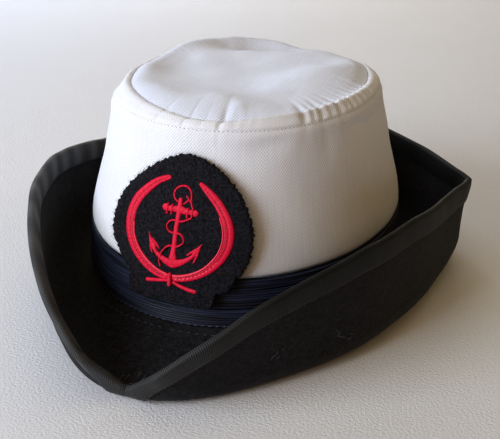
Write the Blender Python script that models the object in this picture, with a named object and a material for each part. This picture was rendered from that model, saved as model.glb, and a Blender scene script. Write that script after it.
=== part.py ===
"""Three-cornered naval hat: felt hood with turned-up flaps, ribbon binding, band, white cover and badge.

Metres, +Z up, standing on z = 0, front of the hat facing -Y.  Angles called "turn" are measured round the
head from the front, positive towards the wearer's left (+X).
"""
import bpy
import bmesh
import numpy as np
from math import radians, sin, cos, asin, atan2, hypot, pi

# Driving dimensions
FELT = 0.0022                 # thickness of the wool felt
RIBBON = 0.0008               # thickness of the binding ribbon
TWILL = 0.0012                # cover cloth with its seam allowance
BRAID = 0.0018                # thickness of the band
GAP = 0.0003                  # air between pieces that touch in the real hat
HEAD_HALF_WIDTH = 0.0857      # outside of the band at its foot, across the head
HEAD_HALF_LENGTH = 0.1039     # the same, along the head
BAND_FOOT = 0.0144            # height of the band's lower edge above the table
BAND_HEIGHT = 0.0260
COVER_FOOT = BAND_FOOT + BAND_HEIGHT + GAP
STITCH_HEIGHT = 0.1099        # height of the topstitched line round the rim
RIM_RISE = 0.0026             # from there up to the seam between rim strip and top panel
SEAM_HEIGHT = STITCH_HEIGHT + RIM_RISE
TOP_DISH = 0.0063             # depth of the top panel's middle below that seam
BRIM_REACH = 0.0572           # greatest distance of the brim edge from the band
FLAP_HEIGHT = 0.0638          # greatest height of the brim edge
BINDING = 0.0120              # width of the binding on each face
BADGE_HALF_WIDTH = 0.0368
BADGE_FOOT = 0.0282
BADGE_TOP = 0.0990
BADGE_FELT = 0.0022
BADGE_RADIUS = 0.100          # the patch is flatter than the crown behind it
THREAD = 0.0008               # height of the embroidery on the patch
CORNER = 114.6                # turn of the rear corners, degrees

# Floor of the brim and start of the flap.  Columns: turn in degrees, distance of the roll from the band as
# a share of BRIM_REACH, roll radius as a share of BRIM_REACH, lift off the table as a share of FELT.
FLOOR = [(0, .745, .100, .65), (3, .745, .110, .5), (7, .700, .135, .12), (12, .622, .155, 0),
         (22, .450, .175, 0), (35, .313, .190, 0), (52, .253, .210, .75), (66, .228, .210, 1.3),
         (84, .240, .210, 1.6), (99, .305, .210, 1.8), (CORNER, .405, .210, 1.8), (128, .300, .210, 1.1),
         (143, .215, .210, .3), (160, .160, .210, 0), (180, .145, .210, 0)]
# Top of the flaps.  Columns: turn in degrees, reach as a share of BRIM_REACH, height as a share of
# FLAP_HEIGHT.
EDGE_SIDE = [(0, .845, .130), (1.3, .862, .165), (3.8, .915, .258), (7.4, 1.0, .398), (12.3, .949, .558),
             (17.2, .881, .690), (21.5, .804, .795), (27.2, .708, .873), (33.8, .615, .926),
             (41.8, .537, .967), (48.3, .498, .997), (65.4, .423, 1.0), (78, .412, .950),
             (89.2, .420, .897), (102.5, .509, .842), (110, .620, .803), (CORNER, .690, .784)]
EDGE_BACK = [(CORNER, .690, .784), (117.5, .640, .793), (120.5, .588, .799), (127, .514, .807),
             (136, .444, .815), (143.5, .388, .821), (152.5, .358, .831), (165, .350, .862),
             (180, .350, .878)]
# Hollow of the flaps between roll and edge, as a share of BRIM_REACH, at turns in degrees
FLARE = [(0, 0), (6, .018), (14, .034), (30, .030), (50, .015), (80, .010), (180, .010)]
# The back corner on the wearer's right hangs a little: drop as a share of FLAP_HEIGHT, middle and spread
# as turns in degrees
HANG, HANG_TURN, HANG_SPREAD = .125, -118, 20
# Outside of the cover's side.  Columns: height as a share from COVER_FOOT to STITCH_HEIGHT, half width and
# half length as shares of the head's.
SIDE = [(0, .979, .982), (.05, .977, .980), (.52, .894, .889), (1, .825, .815)]
# Rim strip and top panel.  Columns: half width and half length as shares of the head's, shift towards the
# back as a share of HEAD_HALF_LENGTH, height over SEAM_HEIGHT as a share of TOP_DISH.
STRIP = [(.780, .791, .008, -.063), (.722, .750, .025, 0)]
TOP = [(.716, .744, .025, .016), (.690, .717, .025, .190), (.610, .634, .023, .063),
       (.430, .447, .017, -.556), (.210, .218, 0, -.889)]
# Soft spot of the top behind, left of the middle.  Depth as a share of TOP_DISH; place and spread across and
# along as shares of the head's half width and half length.
SOFT_DEPTH, SOFT_PLACE, SOFT_SPREAD = .80, (.200, .700), (.330, .270)
# Columns of vertices round the hat, as turns in degrees, for the half with positive X
TURNS = [0, 1.5, 3.2, 5.2, 7.6, 10.6, 14, 18, 22.5, 28, 34.5, 42, 50, 59, 68, 78, 88, 97, 104, 109, 112.2,
         CORNER, 117.2, 121, 126, 133, 142, 152, 162, 171, 180]

for old in list(bpy.data.objects):
    bpy.data.objects.remove(old, do_unlink=True)
for old in list(bpy.data.meshes):
    bpy.data.meshes.remove(old)


def smooth(table, x, column):
    """Value between a table's rows, on a curve that never runs past them."""
    xs = [row[0] for row in table]
    ys = [row[column] for row in table]
    k = max(0, min(len(xs) - 2, int(np.searchsorted(xs, x)) - 1))
    slope = []
    for i in (k, k + 1):
        left = (ys[i] - ys[i - 1]) / (xs[i] - xs[i - 1]) if i > 0 else None
        right = (ys[i + 1] - ys[i]) / (xs[i + 1] - xs[i]) if i < len(xs) - 1 else None
        if left is None or right is None:
            slope.append(right if left is None else left)
        else:
            slope.append(0.0 if left * right <= 0 else 2 * left * right / (left + right))
    h = xs[k + 1] - xs[k]
    t = (x - xs[k]) / h
    return ((1 + 2 * t) * (1 - t) ** 2 * ys[k] + t * (1 - t) ** 2 * h * slope[0]
            + t * t * (3 - 2 * t) * ys[k + 1] + t * t * (t - 1) * h * slope[1])


def oval(turn, half_width, half_length):
    """Distance from the middle of an oval to its line in the direction of a turn."""
    a = radians(turn)
    return 1 / hypot(sin(a) / half_width, cos(a) / half_length)


def place(turn, out, height, shift=0.0):
    a = radians(turn)
    return np.array([out * sin(a), shift - out * cos(a), height])


def sag(x, y, height):
    """How far the soft spot of the top lies below the even shape."""
    high = max(0.0, min(1.0, (height / SEAM_HEIGHT - .755) / .24))
    across = (x / HEAD_HALF_WIDTH - SOFT_PLACE[0]) / SOFT_SPREAD[0]
    along = (y / HEAD_HALF_LENGTH - SOFT_PLACE[1]) / SOFT_SPREAD[1]
    return -SOFT_DEPTH * TOP_DISH * high * np.exp(-across ** 2 - along ** 2)


half = list(TURNS)
turns = half + [-t for t in reversed(half[1:-1])]
columns = len(turns)


def profile(turn):
    """Middle line of the brim from the crown to its edge: reach from the band, and height."""
    t = abs(turn)
    floor = BRIM_REACH * smooth(FLOOR, t, 1)
    roll = BRIM_REACH * smooth(FLOOR, t, 2)
    low = FELT * (0.5 + smooth(FLOOR, t, 3))
    edge = EDGE_SIDE if t <= CORNER else EDGE_BACK
    out = BRIM_REACH * smooth(edge, t, 1)
    top = FLAP_HEIGHT * smooth(edge, t, 2)
    if turn < 0:
        top -= FLAP_HEIGHT * HANG * np.exp(-((turn - HANG_TURN) / HANG_SPREAD) ** 2)
    start = (-BRAID - 2 * GAP - FELT / 2, BAND_FOOT - GAP - FELT / 2)
    flat = min(.105 * BRIM_REACH, .3 * floor)
    points = [start]
    for k in range(1, 9):                       # down from the crown to the floor
        s = k / 8
        ease = s * s * (3 - 2 * s)
        x = start[0] + (floor - flat - start[0]) * s
        points.append((x, start[1] + (low - start[1]) * (0.35 * s + 0.65 * ease)))
    points.append((floor, low))
    dx, dz = out - floor, top - low - roll
    lean = atan2(dz, dx) + asin(min(1.0, roll / hypot(dx, dz)))
    for k in range(1, 10):                      # round the roll
        a = lean * k / 9
        points.append((floor + roll * sin(a), low + roll * (1 - cos(a))))
    flare = BRIM_REACH * smooth(FLARE, t, 1)
    end = points[-1]
    for k in range(1, 9):                       # up the flap, a little hollow
        s = k / 8
        hollow = 4 * s * (1 - s) * flare
        points.append((end[0] + (out - end[0]) * s - hollow * sin(lean),
                       end[1] + (top - end[1]) * s + hollow * cos(lean)))
    return np.array(points)


def walk(points, back):
    """Point at a distance back along a line from its last point; past the end for a negative distance."""
    steps = np.linalg.norm(np.diff(points, axis=0), axis=1)
    total = steps.sum()
    along = total - back
    marks = np.concatenate([[0], np.cumsum(steps)])
    if along > total:
        way = (points[-1] - points[-2]) / steps[-1]
        return points[-1] + way * (along - total)
    return np.array([np.interp(along, marks, points[:, 0]), np.interp(along, marks, points[:, 1])])


profiles = [profile(t) for t in turns]


def brim_row(back, feature=None):
    """Row of points on the middle of the brim, at a distance back from the edge or at a feature of it."""
    row = []
    for turn, line in zip(turns, profiles):
        distance = back
        if feature is not None:
            steps = np.linalg.norm(np.diff(line, axis=0), axis=1)
            left = [steps[k:].sum() for k in (18, 18, 15, 12, 9, 8, 4, 0)]
            left[0] = (back + left[0]) / 2
            for k in range(feature + 1):        # rows keep their order where the flap is short
                distance = max(distance + .1 * BINDING, left[k])
        reach, height = walk(line, distance)
        row.append(place(turn, oval(turn, HEAD_HALF_WIDTH, HEAD_HALF_LENGTH) + reach, height))
    return row


def oval_row(width, length, height, shift=0.0, inset=0.0):
    row = []
    for turn in turns:
        out = oval(turn, HEAD_HALF_WIDTH * width - inset, HEAD_HALF_LENGTH * length - inset)
        p = place(turn, out, height, shift)
        p[2] += sag(p[0], p[1], height)
        row.append(p)
    return row


def pushed(grid, amount):
    """Grid moved along its own normals, keeping its thickness even where it bends."""
    grid = np.array(grid)
    rows = len(grid)
    total = np.zeros_like(grid)
    faces = []
    for di in (-1, 1):
        for dj in (-1, 1):
            up = np.array([grid[min(max(i + di, 0), rows - 1)] - grid[i] for i in range(rows)]) * di
            if di == -1:
                up[0] = grid[1] - grid[0]
            else:
                up[-1] = grid[-1] - grid[-2]
            round_ = (np.roll(grid, -dj, axis=1) - grid) * dj
            n = np.cross(round_, up)
            n /= np.maximum(np.linalg.norm(n, axis=2, keepdims=True), 1e-12)
            faces.append(n)
            total += n
    total /= np.maximum(np.linalg.norm(total, axis=2, keepdims=True), 1e-12)
    spread = sum((total * n).sum(axis=2, keepdims=True) for n in faces) / 4
    return grid + total * amount / np.maximum(spread, 0.55)


def brim_side(back, side):
    """Row of points beside the brim's middle: above it, or below it for a negative side."""
    step = .04 * BINDING
    return pushed([brim_row(back - step), brim_row(back), brim_row(back + step)], side)[1]


def finish(name, bm, colour, rough, sheen=0.0):
    bmesh.ops.remove_doubles(bm, verts=bm.verts, dist=1e-7)
    bmesh.ops.recalc_face_normals(bm, faces=bm.faces)
    mesh = bpy.data.meshes.new(name)
    bm.to_mesh(mesh)
    bm.free()
    body = bpy.data.objects.new(name, mesh)
    bpy.context.collection.objects.link(body)
    material = bpy.data.materials.new(name + "_material")
    material.use_nodes = True
    shader = material.node_tree.nodes["Principled BSDF"]
    shader.inputs["Base Color"].default_value = (*colour, 1)
    shader.inputs["Roughness"].default_value = rough
    shader.inputs["Sheen Weight"].default_value = sheen
    mesh.materials.append(material)
    return body


def skin(rows, ring=True):
    """A row of points joined up, then extruded from row to row; rows that run round the hat are rings."""
    bm = bmesh.new()
    line = [bm.verts.new(p) for p in rows[0]]
    pairs = list(zip(line, line[1:] + line[:1])) if ring else list(zip(line, line[1:]))
    edges = [bm.edges.new(pair) for pair in pairs]
    for row in rows[1:]:
        grown = bmesh.ops.extrude_edge_only(bm, edges=edges)["geom"]
        fresh = {part for part in grown if isinstance(part, bmesh.types.BMVert)}
        line = [next(e.other_vert(v) for e in v.link_edges if e.other_vert(v) in fresh) for v in line]
        pairs = list(zip(line, line[1:] + line[:1])) if ring else list(zip(line, line[1:]))
        edges = [bm.edges.get(pair) for pair in pairs]
        for vert, point in zip(line, row):
            vert.co = point
    return bm


# Outside of the cover, from its foot to the seam, and the top panel inside the seam
wall = []
for share, width, length in SIDE:
    bow = -.019 * share * (1 - share)
    height = COVER_FOOT + share * (STITCH_HEIGHT - COVER_FOOT)
    wall.append(oval_row(width + bow, length + bow, height, -.005 * HEAD_HALF_LENGTH * share))
for width, length, shift, rise in STRIP:
    wall.append(oval_row(width, length, SEAM_HEIGHT + rise * TOP_DISH, shift * HEAD_HALF_LENGTH))
panel = [oval_row(width, length, SEAM_HEIGHT + rise * TOP_DISH, shift * HEAD_HALF_LENGTH)
         for width, length, shift, rise in TOP]
middle = np.array([0, 0, SEAM_HEIGHT - TOP_DISH])

# Felt hood: brim rows from the edge to the crown, then up under band and cover to the middle of the top
edge_cover = GAP + RIBBON
brim = [brim_row(edge_cover), brim_row(edge_cover + BINDING / 2), brim_row(edge_cover + BINDING)]
for feature in range(8):
    brim.append(brim_row(edge_cover + BINDING, feature))
inset = BRAID + 2 * GAP + FELT / 2
neck = [oval_row(.990, .990, BAND_FOOT + BAND_HEIGHT * .35, inset=inset),
        oval_row(.974, .977, BAND_FOOT + BAND_HEIGHT, inset=inset)]
under = TWILL + GAP + FELT / 2
shell = list(pushed(wall + panel, -under))
crown = shell[1:len(wall)] + shell[len(wall) + 1:]
for row in crown[len(wall) - 1:]:
    for p in row:
        p[2] -= GAP / 3
middle_grid = brim + neck + list(crown)
upper = pushed(middle_grid, FELT / 2)
lower = pushed(middle_grid, -FELT / 2)
for i, back in enumerate((0, BINDING / 2, BINDING)):    # the same flats as the binding over them
    upper[i] = brim_side(edge_cover + back, FELT / 2)
    lower[i] = brim_side(edge_cover + back, -FELT / 2)
lower[:, :, 2] = np.maximum(lower[:, :, 2], 0.0)
inmost = [[middle - np.array([0, 0, under + side])] * columns for side in (FELT / 2, -FELT / 2)]
rows = [inmost[0], *lower[::-1], *upper, inmost[1]]
finish("felt_hood", skin(rows), (0.012, 0.012, 0.014), 0.95, 0.3)

# Binding: one folded ribbon right round the edge
gap_side, ribbon_side = FELT / 2 + GAP, FELT / 2 + GAP + RIBBON
round_off, half_fold = -GAP / 3, RIBBON * 1.5
section = [(BINDING, ribbon_side), (BINDING / 2, ribbon_side), (round_off, ribbon_side),
           (-edge_cover, half_fold), (-edge_cover, -half_fold), (round_off, -ribbon_side),
           (BINDING / 2, -ribbon_side), (BINDING, -ribbon_side), (BINDING, -gap_side),
           (BINDING / 2, -gap_side), (-GAP, -gap_side), (-GAP, gap_side), (BINDING / 2, gap_side),
           (BINDING, gap_side)]
loops = [brim_side(edge_cover + back, side) for back, side in section]
finish("edge_binding", skin(loops + loops[:1]), (0.030, 0.030, 0.031), 0.75, 0.1)

# Band: braid with a groove between its two groups of ribs
# Columns: half width as a share of the head's, height as a share of BAND_HEIGHT
face = [(.995, 0), (1.002, .04), (.998, .28), (.990, .31), (.997, .34), (.988, .66), (.979, .97), (.974, 1)]
outside = [oval_row(w, w + .003 * h, BAND_FOOT + BAND_HEIGHT * h) for w, h in face]
inside = [oval_row(.974, .977, BAND_FOOT + BAND_HEIGHT, inset=BRAID),
          oval_row(.998, .998, BAND_FOOT, inset=BRAID)]
finish("band", skin(outside + inside + outside[:1]), (0.010, 0.011, 0.018), 0.6, 0.2)

# White cover: side wall with its rim strip, and the top panel
back_face = pushed(wall, -TWILL)
finish("cover_side", skin([*wall, *back_face[::-1], wall[0]]), (0.80, 0.80, 0.80), 0.85, 0.1)
back_face = pushed(panel + [[middle] * columns], -TWILL)
inmost = [middle - np.array([0, 0, TWILL])] * columns
rows = [inmost, *back_face[-2::-1], *panel, [middle] * columns]
finish("cover_tip", skin(rows), (0.78, 0.78, 0.77), 0.85, 0.1)

# Badge patch.  Columns: height as a share from BADGE_FOOT to BADGE_TOP, left and right edge as shares of
# BADGE_HALF_WIDTH.
PATCH = [(0, -.58, .60), (.055, -.60, .60), (.095, -.61, .62), (.115, -.62, .78), (.16, -.63, .81),
         (.20, -.74, .86), (.265, -.84, .95), (.34, -.94, 1.0), (.43, -.975, 1.02), (.54, -.94, 1.0),
         (.64, -.86, .94), (.76, -.69, .81), (.87, -.44, .60), (.945, -.20, .40), (.985, -.04, .24),
         (1, .02, .13)]
slope = (.815 - .982) * HEAD_HALF_LENGTH / (STITCH_HEIGHT - COVER_FOOT)


def badge_point(x, z, out):
    """Point over the patch's back, which leans back with the crown and is bent round it."""
    front = .987 * HEAD_HALF_LENGTH + slope * (z - COVER_FOOT) + GAP
    band_front = HEAD_HALF_LENGTH + GAP
    front = max(front, band_front - max(0.0, z - BAND_FOOT) * 0.078) if z < COVER_FOOT else front
    return x, -front - out + x * x / (2 * BADGE_RADIUS), z


def badge_piece(name, bm, low, high, colour, rough, sheen):
    """Flat shape in x and z, given its thickness and bent on to the patch's place."""
    made = bmesh.ops.extrude_face_region(bm, geom=list(bm.faces))["geom"]
    front = {part for part in made if isinstance(part, bmesh.types.BMVert)}
    for vert in bm.verts:
        vert.co = badge_point(vert.co.x, vert.co.z, high if vert in front else low)
    return finish(name, bm, colour, rough, sheen)


badge_height = BADGE_TOP - BADGE_FOOT
grid = []
for share, left, right in PATCH:
    z = BADGE_FOOT + badge_height * share
    grid.append([(BADGE_HALF_WIDTH * (left + (right - left) * k / 6), 0, z) for k in range(7)])
badge_piece("badge_patch", skin(grid, ring=False), 0, BADGE_FELT, (0.012, 0.013, 0.018), 0.95, 0.3)

THREAD_FACES = BADGE_FELT + GAP, BADGE_FELT + GAP + THREAD
RED_SATIN = (0.72, 0.015, 0.045), 0.45, 0.1


def ribbon(name, line):
    """Embroidered stroke from a middle line of (x, z, width) as shares of the patch's half width."""
    pts = np.array(line) * BADGE_HALF_WIDTH
    ladder = []
    for i, (x, z, width) in enumerate(pts):
        before, after = pts[max(i - 1, 0)], pts[min(i + 1, len(pts) - 1)]
        way = (after - before)[:2]
        way /= np.linalg.norm(way)
        side = np.array([-way[1], way[0]]) * width / 2
        z += BADGE_FOOT
        ladder.append([(x - side[0], 0, z - side[1]), (x + side[0], 0, z + side[1])])
    return badge_piece(name, skin(ladder, ring=False), *THREAD_FACES, *RED_SATIN)


# Columns: x, height over the patch's foot and width, all as shares of the patch's half width
ribbon("badge_cord_left", [(-.11, 1.62, .03), (-.28, 1.53, .10), (-.50, 1.35, .13), (-.64, 1.11, .14),
                           (-.67, .87, .14), (-.61, .65, .14), (-.49, .49, .13), (-.33, .385, .11),
                           (-.10, .325, .07)])
ribbon("badge_cord_right", [(.29, 1.59, .03), (.44, 1.48, .09), (.59, 1.29, .12), (.69, 1.10, .14),
                            (.72, .93, .14), (.70, .75, .14), (.61, .58, .13), (.44, .45, .12),
                            (.23, .365, .10), (.09, .33, .08)])


def cut_out(name, outline):
    """Embroidered shape from the outline (x, height) in shares of the patch's half width."""
    bm = bmesh.new()
    ring_ = [bm.verts.new((x * BADGE_HALF_WIDTH, 0, z * BADGE_HALF_WIDTH + BADGE_FOOT)) for x, z in outline]
    bmesh.ops.triangle_fill(bm, use_beauty=True, use_dissolve=False,
                            edges=[bm.edges.new(pair) for pair in zip(ring_, ring_[1:] + ring_[:1])])
    return badge_piece(name, bm, *THREAD_FACES, *RED_SATIN)


# Anchor: shank, stock and arms in one outline, clockwise from the top of the shank
cut_out("badge_anchor", [(.015, 1.345), (.085, 1.345), (.085, 1.265), (.30, 1.235), (.31, 1.165),
                         (.075, 1.19), (.055, .66), (.10, .575), (.24, .61), (.20, .66), (.385, .80),
                         (.33, .54), (.29, .60), (.16, .50), (.02, .465), (-.10, .50), (-.22, .60),
                         (-.30, .56), (-.36, .84), (-.20, .68), (-.18, .64), (-.09, .58), (-.03, .60),
                         (-.02, .66), (.005, 1.20), (-.20, 1.22), (-.195, 1.29), (.010, 1.27)])
cut_out("badge_knot", [(-.045, .37), (.045, .37), (.05, .255), (.37, .165), (.345, .11), (.045, .205),
                       (.03, .18), (-.03, .18), (-.045, .21), (-.37, .195), (-.37, .25), (-.05, .258)])
ring = [(.08 + .13 * sin(radians(a)), 1.46 + .125 * cos(radians(a)), .045) for a in range(-138, 139, 23)]
ribbon("badge_anchor_ring", ring)

# The frame's origin is under the middle of the whole hat, so the finished pieces move there together
bodies = [body for body in bpy.data.objects if body.type == "MESH"]
corners = np.array([v.co for body in bodies for v in body.data.vertices])
middle_of_hat = (corners.min(axis=0) + corners.max(axis=0)) / 2
for body in bodies:
    body.location = (-middle_of_hat[0], -middle_of_hat[1], 0)
    body.data.shade_smooth()
    body.data.set_sharp_from_angle(angle=radians(40))
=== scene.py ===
"""A three-cornered naval hat on a pale table, built up in the order in which such a hat is made."""
from math import cos, pi, radians, sin

import bmesh
import bpy
import numpy as np
from mathutils import Matrix, Vector


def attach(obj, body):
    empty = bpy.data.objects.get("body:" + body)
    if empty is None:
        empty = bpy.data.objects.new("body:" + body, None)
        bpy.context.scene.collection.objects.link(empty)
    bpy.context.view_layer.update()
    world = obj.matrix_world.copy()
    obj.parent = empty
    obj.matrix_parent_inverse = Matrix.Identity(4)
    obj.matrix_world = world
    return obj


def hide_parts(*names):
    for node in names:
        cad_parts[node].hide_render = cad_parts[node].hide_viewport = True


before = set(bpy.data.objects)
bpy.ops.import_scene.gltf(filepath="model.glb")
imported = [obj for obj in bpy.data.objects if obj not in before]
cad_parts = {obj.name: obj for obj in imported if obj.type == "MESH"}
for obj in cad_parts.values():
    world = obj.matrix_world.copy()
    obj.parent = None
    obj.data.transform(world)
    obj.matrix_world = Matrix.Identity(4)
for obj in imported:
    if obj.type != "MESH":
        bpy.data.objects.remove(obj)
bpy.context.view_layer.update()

# CAMERA.  The hat was photographed from half a metre away, a little above the brim and from the wearer's
# left of the front, on a narrow lens.
LOOK_ROUND, LOOK_DOWN, LOOK_ROLL = radians(21.02), radians(25.71), radians(0.68)
LOOK_AT = Vector((0.0006, 0.0173, 0.0248))
LOOK_FROM = 0.550
back = Vector((sin(LOOK_ROUND) * cos(LOOK_DOWN), -cos(LOOK_ROUND) * cos(LOOK_DOWN), sin(LOOK_DOWN)))
level = Vector((cos(LOOK_ROUND), sin(LOOK_ROUND), 0))
right = level * cos(LOOK_ROLL) + back.cross(level) * sin(LOOK_ROLL)
axes = Matrix((right, back.cross(right), back)).transposed().to_4x4()
camera = bpy.data.objects.new("camera", bpy.data.cameras.new("camera"))
camera.data.sensor_width = 36
camera.data.lens = 68.0
camera.data.clip_start = 0.02
camera.matrix_world = Matrix.Translation(LOOK_AT + back * LOOK_FROM) @ axes
bpy.context.collection.objects.link(camera)
bpy.context.scene.camera = camera


# TABLE.  A pale table top covered with lightly grained paper, lit by a window on the left.
def linear(colour):
    """An sRGB hex colour as linear red, green, blue and alpha."""
    parts = [int(colour[i:i + 2], 16) / 255 for i in (1, 3, 5)]
    return [c / 12.92 if c <= 0.04045 else ((c + 0.055) / 1.055) ** 2.4 for c in parts] + [1.0]


def feed(node, inputs):
    """Gives a node its inputs, as values, as hex colours or as links from other nodes."""
    for key, value in inputs.items():
        if isinstance(value, bpy.types.NodeSocket):
            node.id_data.links.new(value, node.inputs[key])
        else:
            node.inputs[key].default_value = linear(value) if isinstance(value, str) else value


def add(tree, kind, inputs=None, **settings):
    """Adds a node to a material, with its settings and its inputs."""
    node = tree.nodes.new("ShaderNode" + kind)
    for key, value in settings.items():
        setattr(node, key, value)
    feed(node, inputs or {})
    return node


def piece(name, bm, mesh=None):
    """An object from a mesh in its place."""
    mesh = mesh or bpy.data.meshes.new(name)
    bm.to_mesh(mesh)
    bm.free()
    mesh.shade_smooth()
    thing = bpy.data.objects.new(name, mesh)
    bpy.context.collection.objects.link(thing)
    return thing


def finish_named(name):
    """A new material: its node tree and its shader."""
    material = bpy.data.materials.new(name)
    material.use_nodes = True
    return material, material.node_tree, material.node_tree.nodes["Principled BSDF"]


TABLE_SIZE = 6.0
GRAIN = 0.0007                      # pebbles of the grained paper
bm = bmesh.new()
bmesh.ops.create_grid(bm, x_segments=1, y_segments=1, size=TABLE_SIZE / 2)
table = piece("table", bm)
table.location.z = -0.0001
paper, tree, shader = finish_named("grained_paper")
place_on = add(tree, "TexCoord").outputs["Object"]
pebbles = add(tree, "TexNoise", {"Vector": place_on, "Scale": .5 / GRAIN, "Detail": 3.0, "Roughness": .6})
cloudy = add(tree, "TexNoise", {"Vector": place_on, "Scale": 4.0, "Detail": 2.0})
tint = add(tree, "Mix", {"Factor": cloudy.outputs["Fac"], 6: "#d3d3d9", 7: "#dbdbe1"}, data_type="RGBA")
bump = add(tree, "Bump", {"Height": pebbles.outputs["Fac"], "Strength": 0.8, "Distance": 0.0006})
feed(shader, {"Base Color": tint.outputs[2], "Normal": bump.outputs["Normal"], "Roughness": 0.75})
table.data.materials.append(paper)

# LIGHT.  Daylight from a low wide window on the left, whose sill runs on behind the hat, and the warm light
# of the room from the front and from above, which is all that reaches the hat's right side.
world = bpy.data.worlds.new("room")
world.use_nodes = True
feed(world.node_tree.nodes["Background"], {"Color": "#ffcc88", "Strength": 0.05})
bpy.context.scene.world = world


def lamp(name, place, size, watts, colour):
    """An area light turned towards the middle of the hat."""
    light = bpy.data.lights.new(name, "AREA")
    light.shape = "RECTANGLE"
    light.size, light.size_y = size
    light.energy = watts
    light.color = linear(colour)[:3]
    thing = bpy.data.objects.new(name, light)
    thing.location = place
    thing.rotation_euler = (Vector((0, 0, .05)) - Vector(place)).to_track_quat("-Z", "Y").to_euler()
    bpy.context.collection.objects.link(thing)


lamp("window", (-.663, -.912, .54), (.8, .8), 18.5, "#e8f3fd")
lamp("window_far_end", (-.864, .725, .46), (.8, .6), 6.5, "#cfe0fb")
lamp("room_behind", (-.372, 1.022, .557), (.8, .8), 3.9, "#fff5dd")
lamp("room_front", (.1, -1.3, .8), (1.2, 1.2), 3.9, "#ffcf94")
lamp("ceiling", (0, 0, 1.5), (1.4, 1.4), 4.2, "#fff2cc")
lamp("room_right", (1.1, .8, .8), (1.2, 1.2), 2.6, "#ffdf9e")
bpy.context.scene.view_settings.view_transform = "Standard"

# FELT HOOD.  One piece of black wool felt, steamed and blocked over a wooden head, with its brim turned up
# on three sides.  It is the body of the hat: everything else is sewn on to it.
FELT = 0.0022
HEAD_HALF_WIDTH, HEAD_HALF_LENGTH = 0.0857, 0.1039      # outside of the band at its foot
MIDDLE_X, MIDDLE_Y = 0.00003, 0.0170                    # middle of the head in the whole hat
BAND_FOOT, BAND_HEIGHT = 0.0144, 0.0260
COVER_FOOT = BAND_FOOT + BAND_HEIGHT + 0.0003
STITCH_HEIGHT, RIM_RISE, TOP_DISH = 0.1099, 0.0026, 0.0063
SEAM_HEIGHT = STITCH_HEIGHT + RIM_RISE
BRIM_REACH, FLAP_HEIGHT = 0.0572, 0.0638
GAP, RIBBON, TWILL, BRAID = 0.0003, 0.0008, 0.0012, 0.0018
EDGE_COVER = GAP + RIBBON
CORNER = 114.6                      # turn of the rear corners, in degrees from the front
# Floor of the brim: turn, distance and radius of its roll in shares of BRIM_REACH, lift in shares of FELT
FLOOR = [(0, .745, .100, .65), (3, .745, .110, .5), (7, .700, .135, .12), (12, .622, .155, 0),
         (22, .450, .175, 0), (35, .313, .190, 0), (52, .253, .210, .75), (66, .228, .210, 1.3),
         (84, .240, .210, 1.6), (99, .305, .210, 1.8), (CORNER, .405, .210, 1.8), (128, .300, .210, 1.1),
         (143, .215, .210, .3), (160, .160, .210, 0), (180, .145, .210, 0)]
# Edge of the flaps: turn, reach as a share of BRIM_REACH, height as a share of FLAP_HEIGHT
EDGE_SIDE = [(0, .845, .130), (1.3, .862, .165), (3.8, .915, .258), (7.4, 1.0, .398), (12.3, .949, .558),
             (17.2, .881, .690), (21.5, .804, .795), (27.2, .708, .873), (33.8, .615, .926),
             (41.8, .537, .967), (48.3, .498, .997), (65.4, .423, 1.0), (78, .412, .950),
             (89.2, .420, .897), (102.5, .509, .842), (110, .620, .803), (CORNER, .690, .784)]
EDGE_BACK = [(CORNER, .690, .784), (117.5, .640, .793), (120.5, .588, .799), (127, .514, .807),
             (136, .444, .815), (143.5, .388, .821), (152.5, .358, .831), (165, .350, .862),
             (180, .350, .878)]
# Hollow of the flaps between roll and edge, as a share of BRIM_REACH
FLARE = [(0, 0), (6, .018), (14, .034), (30, .030), (50, .015), (80, .010), (180, .010)]
# Turns of the seams of the grid round half the hat, closer where the brim bends most
TURNS = [0, 1.5, 3.2, 5.2, 7.6, 10.6, 14, 18, 22.5, 28, 34.5, 42, 50, 59, 68, 78, 88, 97, 104, 109, 112.2,
         CORNER, 117.2, 121, 126, 133, 142, 152, 162, 171, 180]
STEPS = 8                           # columns of the fine grid between two of these turns


def between(t, a, b, slope_a, slope_b):
    """A share of the way along the curve from one value to another, with its slopes there."""
    return ((1 + 2 * t) * (1 - t) ** 2 * a + t * (1 - t) ** 2 * slope_a
            + t * t * (3 - 2 * t) * b + t * t * (t - 1) * slope_b)


def smooth(table, x, column):
    """Values between a table's rows, on a curve that never runs past them."""
    xs = np.array([row[0] for row in table], float)
    ys = np.array([row[column] for row in table], float)
    rise = np.diff(ys) / np.diff(xs)
    both = rise[:-1] * rise[1:]
    inner = np.where(both > 0, 2 * both / np.where(both > 0, rise[:-1] + rise[1:], 1), 0)
    slope = np.concatenate([rise[:1], inner, rise[-1:]])
    k = np.clip(np.searchsorted(xs, x) - 1, 0, len(xs) - 2)
    h = xs[k + 1] - xs[k]
    return between((x - xs[k]) / h, ys[k], ys[k + 1], h * slope[k], h * slope[k + 1])


def oval(turn, half_width, half_length):
    """Distance from the middle of an oval to its line in the direction of a turn."""
    return 1 / np.hypot(np.sin(np.radians(turn)) / half_width, np.cos(np.radians(turn)) / half_length)


def placed(turn, out, height, shift=0.0):
    """Points at a distance from the middle of the head."""
    a = np.radians(turn)
    across, along = MIDDLE_X + out * np.sin(a), MIDDLE_Y + shift - out * np.cos(a)
    return np.stack(np.broadcast_arrays(across, along, height), axis=-1)


half = np.interp(np.arange(0, len(TURNS) - 1 + 1e-6, 1 / STEPS), range(len(TURNS)), TURNS)
turns = np.concatenate([half, -half[-2::-1]])           # right round: the last column meets the first


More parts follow.
